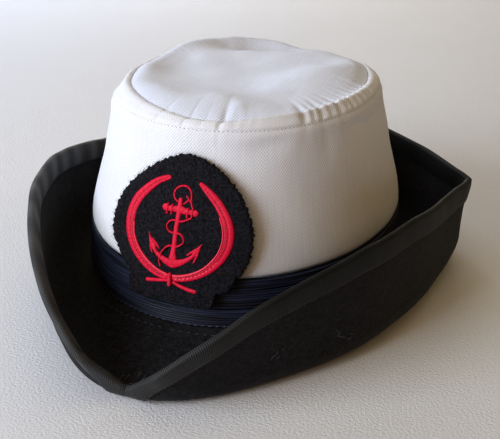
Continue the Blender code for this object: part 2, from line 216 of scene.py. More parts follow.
def brim_lines():
    """Middle line of the felt at each turn, from the crown's foot to the edge: reach and height."""
    t = np.abs(turns)
    floor = BRIM_REACH * smooth(FLOOR, t, 1)
    roll = BRIM_REACH * smooth(FLOOR, t, 2)
    low = FELT * (0.5 + smooth(FLOOR, t, 3))
    out, top = (full * np.where(t <= CORNER, smooth(EDGE_SIDE, np.minimum(t, CORNER), k),
                                smooth(EDGE_BACK, np.maximum(t, CORNER), k))
                for k, full in ((1, BRIM_REACH), (2, FLAP_HEIGHT)))
    # the rear corner on the wearer's right stands lower than the other
    top -= np.where(turns < 0, FLAP_HEIGHT * .125 * np.exp(-((turns + 118) / 20) ** 2), 0)
    start = -BRAID - 2 * GAP - FELT / 2, BAND_FOOT - GAP - FELT / 2
    flat = np.minimum(.105 * BRIM_REACH, .3 * floor)
    line = []
    for s in np.linspace(0, 1, 15):                     # down from the crown to the floor
        ease = s * s * (3 - 2 * s)
        line.append((start[0] + (floor - flat - start[0]) * s,
                     start[1] + (low - start[1]) * (.35 * s + .65 * ease)))
    line.append((floor, low))
    dx, dz = out - floor, top - low - roll
    lean = np.arctan2(dz, dx) + np.arcsin(np.minimum(1, roll / np.hypot(dx, dz)))
    for s in np.linspace(0, 1, 17)[1:]:                 # round the roll
        line.append((floor + roll * np.sin(lean * s), low + roll * (1 - np.cos(lean * s))))
    flare = BRIM_REACH * smooth(FLARE, t, 1)
    ex, ez = line[-1]
    for s in np.linspace(0, 1, 21)[1:]:                 # up the flap, a little hollow
        hollow = 4 * s * (1 - s) * flare
        line.append((ex + (out - ex) * s - hollow * np.sin(lean),
                     ez + (top - ez) * s + hollow * np.cos(lean)))
    return np.stack([np.stack(np.broadcast_arrays(*p)) for p in line], axis=-1).transpose(1, 2, 0)


LINES = brim_lines()                                    # turn, point on the line, (reach, height)
HEAD = oval(turns, HEAD_HALF_WIDTH, HEAD_HALF_LENGTH)


def brim_rows(distances):
    """Rows on the middle of the felt, each at one distance back from the edge or one share of the way in."""
    steps = np.linalg.norm(np.diff(LINES, axis=1), axis=2)
    rows = np.empty((len(distances), len(turns), 3))
    for j in range(len(turns)):
        along = np.concatenate([[0], np.cumsum(steps[j])])
        way = (LINES[j, -1] - LINES[j, -2]) / steps[j, -1]
        for i, (near, share) in enumerate(distances):
            back_by = near + share * (along[-1] - near)
            at = along[-1] - back_by
            if at > along[-1]:
                reach, height = LINES[j, -1] + way * (at - along[-1])
            else:
                reach = np.interp(at, along, LINES[j, :, 0])
                height = np.interp(at, along, LINES[j, :, 1])
            rows[i, j] = placed(turns[j], HEAD[j] + reach, height)
    return rows


def normals(grid):
    """Directions square to a grid that closes on itself from column to column."""
    up = np.gradient(grid, axis=0)
    inner = grid[:, :-1]
    along = np.roll(inner, -1, axis=1) - np.roll(inner, 1, axis=1)
    n = np.cross(along, up[:, :-1])
    n /= np.maximum(np.linalg.norm(n, axis=2, keepdims=True), 1e-12)
    return np.concatenate([n, n[:, :1]], axis=1)


def oval_rows(table):
    """Rows round the crown from half width and half length shares, height and shift in metres, and inset."""
    rows = []
    for width, length, height, shift, inset in table:
        out = oval(turns, HEAD_HALF_WIDTH * width - inset, HEAD_HALF_LENGTH * length - inset)
        rows.append(placed(turns, out, height, shift))
    return np.array(rows)


def cloth(name, grid, joined=True):
    """A flat grid of faces bent to the given rows of points, with a UV map in metres along and across them.

    Rows or columns that meet are joined, so that a ring, a tube or a cap closes."""
    rows, columns = grid.shape[:2]
    steps = np.linalg.norm(np.diff(grid, axis=1), axis=2)
    along = np.concatenate([[0], np.cumsum(steps[steps.sum(axis=1).argmax()])])
    across = np.concatenate([[0], np.cumsum(np.linalg.norm(np.diff(grid, axis=0), axis=2).mean(axis=1))])
    bm = bmesh.new()
    bm.loops.layers.uv.new("UVMap")
    bmesh.ops.create_grid(bm, x_segments=columns - 1, y_segments=rows - 1, size=1, calc_uvs=True)
    mesh = bpy.data.meshes.new(name)
    bm.to_mesh(mesh)
    flat = np.empty(len(mesh.vertices) * 3)
    mesh.vertices.foreach_get("co", flat)
    flat = flat.reshape(-1, 3)
    column = np.rint((flat[:, 0] + 1) / 2 * (columns - 1)).astype(int)
    row = np.rint((flat[:, 1] + 1) / 2 * (rows - 1)).astype(int)
    mesh.vertices.foreach_set("co", grid[row, column].astype(float).ravel())
    corners = np.empty(len(mesh.loops), int)
    mesh.loops.foreach_get("vertex_index", corners)
    measured = np.stack([along[column[corners]], across[row[corners]]], axis=-1)
    mesh.uv_layers[0].uv.foreach_set("vector", measured.ravel())
    bm.clear()
    bm.from_mesh(mesh)
    if joined:
        bmesh.ops.remove_doubles(bm, verts=bm.verts, dist=1e-6)
        bmesh.ops.recalc_face_normals(bm, faces=bm.faces)
    return piece(name, bm, mesh)


def waves(points, length, amount, seed):
    """Soft unevenness of handmade cloth at a wave length, the same on every run."""
    rng = np.random.default_rng(seed)
    total = np.zeros(points.shape[:-1])
    for _ in range(7):
        way = rng.normal(size=3)
        way *= 2 * pi / (length * rng.uniform(.7, 1.5) * np.linalg.norm(way))
        total += np.sin(points @ way + rng.uniform(0, 2 * pi))
    return total * amount / 2.6


# Rows of the brim back from its edge: near ones in metres, then shares of the way in
BINDING = 0.0120
BRIM_ROWS = [(EDGE_COVER + BINDING * k / 6, 0) for k in range(7)]
BRIM_ROWS += [(EDGE_COVER + BINDING, k / 34) for k in range(1, 35)]
neck_inset = BRAID + 2 * GAP + FELT / 2
under = TWILL + GAP + FELT / 2
# Sides of the crown: height as a share from COVER_FOOT to STITCH_HEIGHT, half width, half length
SIDE = [(0, .979, .982), (.05, .977, .980), (.52, .894, .889), (1, .825, .815)]


def cover_rows(shares):
    """Outside of the cover's side at shares of its height."""
    rows = []
    for share in shares:
        bow = -.019 * share * (1 - share)               # a little hollow between foot and rim
        rows.append((smooth(SIDE, share, 1) + bow, smooth(SIDE, share, 2) + bow,
                     COVER_FOOT + share * (STITCH_HEIGHT - COVER_FOOT), -.005 * HEAD_HALF_LENGTH * share, 0))
    return oval_rows(rows)


# Rim strip and top panel: share of their width, half width, half length, shift in shares of
# HEAD_HALF_LENGTH, rise in shares of TOP_DISH
RIM = [(0, .825, .815, -.005, -.413), (.28, .808, .808, 0, -.20), (.55, .780, .791, .008, -.063),
       (1, .722, .750, .025, 0)]
TOP = [(0, .716, .744, .025, .016), (.09, .690, .717, .025, .190), (.22, .610, .634, .023, .063),
       (.46, .430, .447, .017, -.556), (.75, .210, .218, 0, -.889), (1, .0001, .0001, 0, -1)]


# How the cloth of the crown has settled, by turn, in mm: the stitched rim lower, and drawn in, than it was
# made, and the seam of the top over or under SEAM_HEIGHT
SETTLED = [(-180, 8.2, 0), (-172, 5.8, 0), (-165, 3.6, 0), (-150, 2.2, 0), (-134, 2.4, 0), (-121, 3.2, 0),
           (-110, 5.4, .2), (-100, 7.6, .4), (-90, 8.6, .6), (-80, 7.4, .6), (-70, 6.6, .4), (-60, 4.8, .2),
           (-50, 2.6, 0), (-40, 1.0, 0), (-30, .2, 0), (-20, 0, 0), (70, 0, .3), (86, .4, 1.2),
           (100, 1.6, 1.6), (115, 2.6, 1.4), (130, 4.3, 1.2), (140, 5.6, 1.1), (150, 7.1, .8),
           (160, 7.8, .4), (170, 8.2, .1), (180, 8.2, 0)]
SEAM_LINE = [(-180, -5.0), (-172, -3.4), (-163, -1.8), (-150, .1), (-130, .6), (-110, -.1), (-100, -.7),
             (-90, -.9), (-80, 0), (-72, .7), (-62, .9), (-40, 2.2), (-25, 1.4), (-12, .4), (-2, -.8),
             (6, -1.1), (13, -.8), (27, .7), (46, 1.3), (62, 1.4), (85, .6), (108, -.6), (130, -1.0),
             (140, -1.8), (152, -3.6), (162, -5.0), (172, -5.6), (180, -5.0)]
# How far forward and up the front of the seam has been drawn, by turn, in mm
DRAWN = [(-180, 0), (-62, 0), (-50, .8), (-35, 2.4), (-15, 3.8), (10, 4.2), (60, 4.0), (85, 2.8), (105, 1.2),
         (125, 0), (180, 0)]
FORWARD = np.array([.36, -.93, .48])


def turn_and_share(points):
    """A point's turn round the hat, and its place from the middle to the head's oval."""
    across, along = points[..., 0] - MIDDLE_X, points[..., 1] - MIDDLE_Y
    return (np.degrees(np.arctan2(across, -along)),
            np.hypot(across / HEAD_HALF_WIDTH, along / HEAD_HALF_LENGTH))


def settle(points):
    """Lets the upper crown settle: down and in at the stitched rim, up or down along the seam of the top."""
    turn, share = turn_and_share(points)
    high = np.clip((points[..., 2] / SEAM_HEIGHT - .755) / .22, 0, 1)
    rim = np.clip((share - .735) / .075, 0, 1)
    rim = rim * rim * (3 - 2 * rim)
    middle = np.clip((share - .35) / .3, 0, 1)
    drop = -smooth(SETTLED, turn, 1) * rim + smooth(SEAM_LINE, turn, 1) * (1 - rim) * middle
    inward = smooth(SETTLED, turn, 2) * rim
    a = np.radians(turn)
    move = np.stack([-inward * np.sin(a), inward * np.cos(a), drop], axis=-1)
    return points + move * high[..., None] / 1000 + drawn(points) * high[..., None]


def drawn(points):
    """The pull on the seam of the top, which dies away towards the stitched rim and the middle of the top."""
    turn, share = turn_and_share(points)
    near = np.clip((share - .38) / .34, 0, 1) * np.clip((.815 - share) / .085, 0, 1)
    return (smooth(DRAWN, turn, 1) * near * near * (3 - 2 * near) / 1000)[..., None] * FORWARD


def top_rows(table, shares):
    """Rows of the rim strip or of the top panel at shares of their width."""
    rows = [(smooth(table, s, 1), smooth(table, s, 2), SEAM_HEIGHT + smooth(table, s, 4) * TOP_DISH,
             smooth(table, s, 3) * HEAD_HALF_LENGTH, 0) for s in shares]
    return oval_rows(rows)


brim = brim_rows(BRIM_ROWS)
neck = oval_rows([(.990, .990, BAND_FOOT + BAND_HEIGHT * .35, 0, neck_inset),
                  (.974, .977, BAND_FOOT + BAND_HEIGHT, 0, neck_inset)])
outside = np.concatenate([cover_rows(np.linspace(.06, 1, 7)), top_rows(RIM, (.55, 1)),
                          top_rows(TOP, (.22, .46, .75, .995))])
crown = outside - normals(outside) * under
crown[..., 2] -= .003 * np.clip((.80 - turn_and_share(crown)[1]) / .1, 0, 1)
crown = settle(crown)
middle = np.concatenate([brim, neck, crown])
way = normals(middle)
uneven = waves(middle, 0.045, 0.00012, 3)[..., None]
upper = middle + way * (FELT / 2 + uneven)
lower = middle - way * (FELT / 2 - uneven)
lower[..., 2] = np.maximum(lower[..., 2], 0)
hood = cloth("wool_hood", np.concatenate([lower[::-1], upper]))
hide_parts("felt_hood")
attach(hood, "root")


def stops(ramp, *pairs):
    """Gives the stops of a colour ramp their places and colours."""
    for stop, (at, colour) in zip(ramp.color_ramp.elements, pairs):
        stop.position, stop.color = at, linear(colour)


# Wool felt: short fibres matted together, so it scatters light evenly, with a faint bloom at its edge
FIBRE = 0.0006                      # drawn coarser than a fibre of wool, to show
black_felt, tree, shader = finish_named("black_wool_felt")
place_on = add(tree, "TexCoord").outputs["Object"]
matted = add(tree, "TexNoise", {"Vector": place_on, "Scale": .5 / FIBRE, "Detail": 4.0, "Roughness": .7})
patchy = add(tree, "TexNoise", {"Vector": place_on, "Scale": 350.0, "Detail": 3.0, "Roughness": .7})
tone = add(tree, "Mix", {"Factor": .4, 2: matted.outputs["Fac"], 3: patchy.outputs["Fac"]})
shade = add(tree, "ValToRGB", {"Fac": tone.outputs[0]})
stops(shade, (.43, "#010103"), (.62, "#1f1f26"))
bump = add(tree, "Bump", {"Height": matted.outputs["Fac"], "Strength": .9, "Distance": .0006})
feed(shader, {"Base Color": shade.outputs["Color"], "Normal": bump.outputs["Normal"], "Roughness": .92,
              "Specular IOR Level": .15, "Sheen Weight": .05})
hood.data.materials.append(black_felt)

# Running stitches through the brim round the foot of the crown, in a dull blue-grey thread


def lengths(line):
    """How far along a line each of its points lies."""
    return np.concatenate([[0], np.cumsum(np.linalg.norm(np.diff(line, axis=0), axis=1))])


def sampled(rows, long, at):
    """Points or directions of a line, read at lengths along it."""
    return np.stack([np.interp(at, long, rows[:, k]) for k in range(3)], axis=-1)


def plain(part, name, colour, roughness):
    """Gives a piece a finish of one even colour."""
    material, tree, shader = finish_named(name)
    feed(shader, {"Base Color": colour, "Roughness": roughness})
    part.data.materials.append(material)


def trim(name, bm, finish, colour, roughness):
    """A small piece of one even colour, sewn to the hat."""
    part = piece(name, bm)
    plain(part, finish, colour, roughness)
    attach(part, "root")


def stitch(bm, here, way, out_way, size):
    """A rounded stitch of a half length along its way, a half width, and a half height out of the cloth."""
    shape = Matrix((way * size[0], out_way.cross(way) * size[1], out_way * size[2])).transposed().to_4x4()
    bmesh.ops.create_icosphere(bm, subdivisions=1, radius=1, matrix=Matrix.Translation(here) @ shape)


def stitches_along(bm, line, ways, spacing, size, slant=0.0):
    """Small stitches at equal steps along a line, slanted by a share."""
    long = lengths(line)
    for at in np.arange(spacing / 2, long[-1] - spacing / 4, spacing):
        here, far, out_way = (Vector(sampled(rows, long, q))
                              for q, rows in ((at, line), (at + spacing / 5, line), (at, ways)))
        out_way.normalize()
        way = (far - here).normalized()
        stitch(bm, here, (way + out_way.cross(way) * slant).normalized(), out_way, size)


RUN_OUT = 0.0036                    # distance of the row from the band
on_top = [np.interp(RUN_OUT, line[:16, 0], line[:16, 1]) + FELT / 2 + .0001 for line in LINES]
run = placed(turns, HEAD + RUN_OUT, on_top)
bm = bmesh.new()
stitches_along(bm, run, np.tile((0, 0, 1), (len(run), 1)), spacing=.0042, size=(.0014, .00028, .0002))
trim("running_stitches", bm, "dull_blue_grey_thread", "#2c3140", .8)

# Pale lint caught on the felt: ends and bends of each bit of fibre, in mm
LINT = [[(80.9, -76.6, 23.6), (82.2, -74.8, 21.4), (81.6, -75.2, 19.6), (83.1, -73.6, 18.4),
        (84.6, -71.6, 17.2)], [(85.3, -70.4, 15.6), (86.6, -68.6, 16.1)], [(86.2, -69.3, 18.6),
        (87.2, -67.9, 17.6)], [(58.6, -104.6, 18.4), (59.3, -103.7, 20.0), (60.6, -102.3, 21.0),
        (60.9, -102.0, 22.6)], [(60.3, -102.2, 18.5), (61.4, -101.0, 18.9)], [(62.4, -100.6, 22.2),
        (63.1, -99.6, 22.9)], [(-54.6, -80.0, 4.6), (-54.0, -79.4, 4.8)], [(2.3, -104.6, 9.8),
        (3.2, -104.3, 9.9)], [(-8.6, -126.9, 4.0), (-7.2, -125.6, 6.2), (-5.9, -126.6, 7.6)],
        [(-6.0, -125.2, 4.2), (-4.4, -123.8, 6.6)], [(-1.4, -122.3, 4.6), (-.2, -121.2, 7.0),
        (.9, -122.4, 7.9)], [(2.0, -123.4, 5.0), (3.3, -122.6, 7.4)]]


def hair(bm, middle, way, long, foot, tip, sides):
    """A straight fibre with a radius at its foot and at its tip."""
    turn_to = way.to_track_quat("Z", "Y").to_matrix().to_4x4()
    bmesh.ops.create_cone(bm, cap_ends=True, segments=sides, radius1=foot, radius2=tip, depth=long,
                          matrix=Matrix.Translation(middle) @ turn_to)


bm = bmesh.new()
for bit in LINT:
    for a, b in zip(bit, bit[1:]):
        a, b = Vector(a) / 1000, Vector(b) / 1000
        hair(bm, (a + b) / 2, b - a, (b - a).length * 1.08, .00011, .00009, 5)
trim("lint", bm, "pale_lint_fibre", "#5c5c61", .9)

# BINDING.  A 25 mm grosgrain ribbon folded over the brim's edge and sewn down on both faces; its ribs cross
# it about every millimetre and fan out round the corners.
RIB = 0.0011
RIB_RISE = 0.00016
PER_RIB = 4
edge_line = brim_rows([(0, 0)])[0]
backs = [.0022, .0045, .0070, .0095, .0119, .0128]
full = [.5, 1, 1, 1, .85, .2]                           # thickness there, as a share: the selvedges lie flat
felt_rows = brim_rows([(b, 0) for b in backs])
felt_ways = normals(brim_rows([(b + d, 0) for b in backs for d in (-.0004, 0, .0004)]))[1::3]
over = FELT / 2 + GAP
section = []                                            # points, and the way out of the ribbon there
for k in range(5, -1, -1):                              # down the inner face to the fold
    section.append((felt_rows[k] + felt_ways[k] * (over + RIBBON * full[k]), felt_ways[k]))
out_way = edge_line - felt_rows[0]
out_way /= np.linalg.norm(out_way, axis=1, keepdims=True)
for a in np.radians(np.arange(18, 163, 18)):            # round the fold
    there = felt_ways[0] * cos(a) + out_way * sin(a)
    section.append((felt_rows[0] + there * (over + RIBBON * full[0]), there))
for k in range(6):                                      # down the outer face
    section.append((felt_rows[k] - felt_ways[k] * (over + RIBBON * full[k]), -felt_ways[k]))
around = lengths(edge_line)
edge_length = around[-1]
ribs = int(round(edge_length / RIB))
marks = np.linspace(0, edge_length, ribs * PER_RIB + 1)
rib_shape = np.array([0, .75, 1, .75])[np.arange(len(marks)) % PER_RIB] * RIB_RISE
outer = [sampled(p, around, marks) + sampled(w, around, marks) * rib_shape[:, None] for p, w in section]
inner = [sampled(felt_rows[k] + felt_ways[k] * over * side, around, marks)
         for side, k in ((-1, 5), (-1, 0), (1, 0), (1, 5))]
binding = cloth("ribbon_binding", np.array(outer + inner + outer[:1]))
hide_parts("edge_binding")
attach(binding, "root")
# Grosgrain: ribbed ribbon of rayon over cotton; its ribs are painted lighter where they catch a dull light,
# and its grooves are painted dark as shade
grosgrain, tree, shader = finish_named("grosgrain_ribbon")
uv = add(tree, "UVMap", uv_map="UVMap").outputs["UV"]
ribbed = add(tree, "TexWave", {"Vector": uv, "Scale": pi / 10 / RIB}, bands_direction="X")
place_on = add(tree, "TexCoord").outputs["Object"]
worn = add(tree, "TexNoise", {"Vector": place_on, "Scale": 400.0, "Detail": 3.0})
shade = add(tree, "Mix", {"Factor": ribbed.outputs["Fac"], 6: "#030303", 7: "#5c5c5e"}, data_type="RGBA")
# painted light: the ribbon is drawn lighter towards the wearer's right, the side that faces the window, and
# darker towards the wearer's left
across = add(tree, "SeparateXYZ", {"Vector": place_on})
window_side_share = add(tree, "MapRange", {"Value": across.outputs["X"], "From Min": -.09, "From Max": .07,
                                "To Min": 1.0, "To Max": 0.0})
painted_window_light = add(tree, "Mix", {"Factor": window_side_share.outputs["Result"], 6: "#444444", 7: "#ffffff"},
            data_type="RGBA")
ribs_and_painted_light = add(tree, "Mix", {"Factor": 1.0, 6: shade.outputs[2], 7: painted_window_light.outputs[2]}, data_type="RGBA",
           blend_type="MULTIPLY")
bump = add(tree, "Bump", {"Height": worn.outputs["Fac"], "Strength": .4, "Distance": .0002})
feed(shader, {"Base Color": ribs_and_painted_light.outputs[2], "Normal": bump.outputs["Normal"], "Roughness": .6,
              "Specular IOR Level": .18, "Sheen Weight": .06, "Sheen Roughness": .35})
binding.data.materials.append(grosgrain)
bm = bmesh.new()
for side in -1, 1:                                      # small slanting stitches over both selvedges
    stitches_along(bm, felt_rows[4] + side * felt_ways[4] * (over + RIBBON * .8), side * felt_ways[4],
                   spacing=.0022, size=(.0010, .00028, .00022), slant=side * 1.4)
trim("binding_stitches", bm, "black_sewing_thread", "#3a3b3c", .7)

# BAND.  Navy-black mohair braid round the foot of the crown, with two groups of fine cords along it.
UPPER_CORDS, LOWER_CORDS = 11, 7
GROOVE_FOOT, GROOVE_TOP = .36, .41                      # shares of the band's height
CORD_RISE = 0.0005
BAND_FACE = [(0, .995), (.04, 1.000), (.28, .998), (.34, .996), (.66, .988), (.97, .979), (1, .974)]
face = []
for low, high, cords in ((0.02, GROOVE_FOOT, LOWER_CORDS), (GROOVE_TOP, .98, UPPER_CORDS)):
    face.append((low, -.8))
    for cord in range(cords):
        for part, rise in ((.12, 0), (.3, .8), (.5, 1), (.7, .8), (.88, 0)):
            face.append((low + (high - low) * (cord + part) / cords, rise))
    face.append((high, -.8))
rows = [(smooth(BAND_FACE, h, 1), smooth(BAND_FACE, h, 1) + .003 * h, BAND_FOOT + BAND_HEIGHT * h, 0,
         -rise * CORD_RISE) for h, rise in face]
rows += [(.974, .977, BAND_FOOT + BAND_HEIGHT, 0, BRAID), (.998, .998, BAND_FOOT, 0, BRAID)]
band = cloth("braid_band", oval_rows(rows + rows[:1]))
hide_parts("band")
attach(band, "root")
# Mohair braid: lustrous dark cords; the tone of its strands varies at random along it, and its lighter bluish
# streaks are a painted gleam along each cord
mohair, tree, shader = finish_named("mohair_braid")
place_on = add(tree, "TexCoord").outputs["Object"]
woven = add(tree, "TexNoise", {"Vector": place_on, "Scale": 700.0, "Detail": 2.0})
uv = add(tree, "UVMap", uv_map="UVMap").outputs["UV"]
drawn_out = add(tree, "Mapping", {"Vector": uv, "Scale": (1 / .060, 1 / .0016, 1)})
strands = add(tree, "TexNoise", {"Vector": drawn_out.outputs[0], "Scale": 1.0, "Detail": 2.0,
                                 "Roughness": .7})
shade = add(tree, "ValToRGB", {"Fac": strands.outputs["Fac"]})
stops(shade, (.40, "#030307"), (.64, "#232940"))
bump = add(tree, "Bump", {"Height": woven.outputs["Fac"], "Strength": .4, "Distance": .0002})
feed(shader, {"Base Color": shade.outputs["Color"], "Normal": bump.outputs["Normal"], "Roughness": .5,
              "Specular IOR Level": .15})
band.data.materials.append(mohair)
foot_line = oval_rows([(1.001, 1.001, BAND_FOOT + BAND_HEIGHT * .05, 0, -.0004)])[0]
bm = bmesh.new()
from_axis = foot_line - (MIDDLE_X, MIDDLE_Y, foot_line[0, 2])
stitches_along(bm, foot_line, from_axis, spacing=.0036, size=(.0011, .0003, .00022), slant=.25)
trim("band_stitches", bm, "faded_blue_thread", "#3d4760", .7)

# COVER.  A washable cover of white cotton twill drawn over the crown: a side piece, whose top is eased over
# the rim and topstitched, and a top panel sewn to it in a sunk seam, stuffed out and soft.
SEAM_DROP = 0.0005                                      # how deep the seam is drawn in
TOP_REACH = 0.069                                       # from the seam to the middle of the top
ROUNDING, FRONT_ROUNDING = 0.0090, 0.0110               # width of the top's rounded border, more in front
# Shape of the top, settled: across and along in shares of the head's half width and half length, then
# millimetres over SEAM_HEIGHT
PILLOW = [(0, -.60, 4.8), (.05, -.52, 4.8), (-.18, -.56, 5.0), (-.36, -.48, 5.0), (.23, -.48, 3.0),
          (.37, -.42, 1.8), (.50, -.30, 1.8), (.60, -.10, 1.8), (.64, .08, 1.8), (.61, .28, 2.0),
          (.49, .45, .9), (-.56, -.30, 3.0), (-.63, -.15, 3.2), (-.655, 0, 2.6), (-.655, .11, 3.0),
          (-.62, .25, 4.7), (-.555, .41, 4.8), (-.42, .57, 3.2), (-.31, .64, 2.0), (-.20, .685, .7),
          (-.10, .70, -.9), (-.015, .71, -2.7), (.155, .68, -4.2), (.26, .645, -4.0), (.37, .58, -2.2),
          (-.45, -.22, -.6), (-.48, -.03, -1.4), (-.50, .13, .1), (-.42, .17, 1.5), (-.25, -.33, .8),
          (-.20, -.10, -.8), (0, -.30, .4), (.02, 0, -.8), (.15, -.20, .4), (.16, -.05, 1.0),
          (.28, -.20, 2.8), (.32, -.07, 4.2), (.39, .01, 5.4), (.47, .09, 5.8), (.555, .22, 4.2),
          (.41, -.28, 2.0), (.52, -.10, 3.2), (.40, .28, 1.4), (.24, .22, .4), (-.16, .16, -.3),
          (-.02, .26, .9), (-.37, .275, 1.7), (-.18, .35, 2.2), (.01, .42, 1.9), (.10, .48, 1.3),
          (.18, .54, 1.0), (.33, .54, .5), (-.41, .49, -.8), (-.27, .56, -3.6), (-.13, .60, -5.2),
          (0, .61, -5.8)]


def thin_plate(knots, at):
    """The smoothest surface through a few heights."""
    knots, at = np.array(knots, float), np.array(at)
    bend = lambda r: r * r * np.log(r + 1e-9)
    near = bend(np.linalg.norm(knots[:, None, :2] - knots[None, :, :2], axis=2))
    near += np.eye(len(knots)) * .0006                  # a little give
    flat = np.column_stack([np.ones(len(knots)), knots[:, :2]])
    system = np.block([[near, flat], [flat.T, np.zeros((3, 3))]])
    weights = np.linalg.solve(system, np.concatenate([knots[:, 2], np.zeros(3)]))
    far = bend(np.linalg.norm(at[..., None, :] - knots[:, :2], axis=-1))
    return far @ weights[:-3] + weights[-3] + at @ weights[-2:]


# Puckers of the rim: turn, half width in degrees, depth in mm
PUCKERS = [(-47, .8, .3), (-33, .9, .3), (-21, .7, .25), (-11, 1.0, .6), (-1, .8, .5), (5, .6, .2),
           (11.2, .9, .9), (23, .7, .15), (41, 1.4, 1.6), (45, .9, .6), (49, 1.2, 1.3), (54, 1.0, .8),
           (59, 1.2, 1.5), (63, .8, .7), (67, 1.1, 1.3), (71.5, 1.0, 1.0), (77, 1.1, 1.0), (82, .8, .6),
           (87, 1.3, 1.2), (94, 1.0, .8)]
rng = np.random.default_rng(7)
for turn in np.arange(94, 312, 5.5):                    # round the back
    turn = (turn + rng.uniform(-1.6, 1.6) + 180) % 360 - 180
    PUCKERS.append((turn, rng.uniform(.7, 1.2), rng.uniform(.25, .6)))
pucker = sum(depth * np.exp(-(((turns - turn + 180) % 360 - 180) / wide) ** 2)
             for turn, wide, depth in PUCKERS)
angle = np.radians(turns)
gather = sum(np.sin(n * angle + rng.uniform(0, 2 * pi)) for n in (61, 74, 88, 97, 113)) / 2.2
gather *= .3 + .6 * np.exp(-((turns - 65) / 28) ** 2)
# Rim strip: half width, half length, shift, rise as in the felt under it, then how far the puckers reach
STRIP = [(0, .8245, .8145, -.005, -.413, .1), (.10, .8240, .8140, -.004, -.30, .45),
         (.25, .817, .8115, -.002, -.11, .75), (.45, .801, .801, .003, .06, .9),
         (.65, .777, .785, .010, .12, .95), (.82, .750, .767, .018, .07, 1),
         (.93, .731, .7535, .023, -.01, .9), (1, .7192, .7472, .025, -.10, .6)]
# Soft dents under the stitches: turn, height in mm, half width in degrees, half height in mm, depth in mm
DENTS = [(27, 103, 5, 3.5, .55), (36, 101, 4, 4, -.3), (50, 98, 3, 8, .4), (57, 100, 3, 8, -.3),
         (66, 103, 8, 2.5, .6), (80, 101, 8, 2.5, .6), (-30, 90, 9, 9, .4), (95, 80, 6, 20, .4)]
# How the line of stitches draws the cloth in: height below it in m, bulge in mm
PINCH = [(-.0100, 0), (-.0060, .25), (-.0030, .55), (-.0014, .30), (-.0006, -.20), (0, -.40)]
shares = np.concatenate([np.linspace(0, .86, 30), np.linspace(.87, 1, 15)])
wall = cover_rows(shares)
down = (shares - 1) * (STITCH_HEIGHT - COVER_FOOT)
pinch = np.interp(down, [p[0] for p in PINCH], [p[1] for p in PINCH]) / 1000
hem = np.where(shares < .03, -.0007 * (1 - shares / .03) ** 2, 0)
s = np.linspace(0, 1, 19)[1:]
side = settle(np.concatenate([wall, top_rows(STRIP, s)]))
reach_of = np.concatenate([np.zeros(len(wall)), smooth(STRIP, s, 5)])
low_pull = np.concatenate([np.exp(-((down + .003) / .004) ** 2) * .35, np.zeros(len(s))])
rise = (gather * .00016 - pucker / 1000)[None, :] * (reach_of + low_pull * .5)[:, None]
rise = rise + np.concatenate([pinch + hem, -.0004 * np.exp(-s / .07)])[:, None]
rise = rise + waves(side, .05, .0003, 11) * .5 + waves(side, .019, .00012, 12) * .5
for turn, height, wide, high, depth in DENTS:
    off = ((turns - turn) / wide) ** 2 + ((side[..., 2] * 1000 - height) / high) ** 2
    rise = rise - depth / 1000 * np.exp(-off)
side += normals(side) * rise[..., None]
cover_side = cloth("twill_side", side)

inward = np.concatenate([np.linspace(0, .26, 27), np.linspace(.26, 1, 30)[1:]])
flat = [(.7180 * (1 - q), .7460 * (1 - q), 0, .025 * HEAD_HALF_LENGTH * (1 - q), 0) for q in inward]
flat[-1] = (.000001, .000001, 0, 0, 0)
top = oval_rows(flat)
spot = (top[..., :2] - (MIDDLE_X, MIDDLE_Y)) / (HEAD_HALF_WIDTH, HEAD_HALF_LENGTH)
puffed = thin_plate(PILLOW, spot) / 1000
lift = side[-1, :, 2] - SEAM_HEIGHT + SEAM_DROP
near = np.exp(-(((turns[:, None] - turns + 180) % 360 - 180) / 4) ** 2)
near *= np.minimum(abs(np.gradient(turns)), 2)
even = near @ lift / near.sum(axis=1)                   # the seam's rise without its puckers
deep = inward[:, None] * TOP_REACH
border = ROUNDING + FRONT_ROUNDING * np.exp(-((turns + 12) / 45) ** 2)
round_up = np.sin(np.minimum(1, deep / border) * pi / 2) ** .85
pull = drawn(top)
top[..., :2] += pull[..., :2]
puffed += pull[..., 2]
top[..., 2] = SEAM_HEIGHT - SEAM_DROP + even + (puffed + SEAM_DROP - even) * round_up
top[..., 2] += (lift - even) * np.exp(-deep / .004)
top[..., 2] -= (pucker * .7 - gather * .12) / 1000 * np.exp(-deep / .006) * (1 - np.exp(-deep / .0012))
# the deepest pucker, at the front, and the fold beside it
top[..., 2] -= .0011 * np.exp(-((turns - 11.3) / 1.7) ** 2 - deep / .007) * (1 - np.exp(-deep / .0012))
top[..., 2] += .0008 * np.exp(-((turns - 16) / 3.2) ** 2 - ((deep - .008) / .005) ** 2)
top[..., 2] += (waves(top, .035, .0003, 5) + waves(top, .016, .00012, 6)) * round_up
cover_tip = cloth("twill_top", top)
for part, node in (cover_side, "cover_side"), (cover_tip, "cover_tip"):
    thick = part.modifiers.new("thickness", "SOLIDIFY")
    thick.thickness, thick.offset = TWILL * .6, -1
    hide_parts(node)
    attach(part, "root")
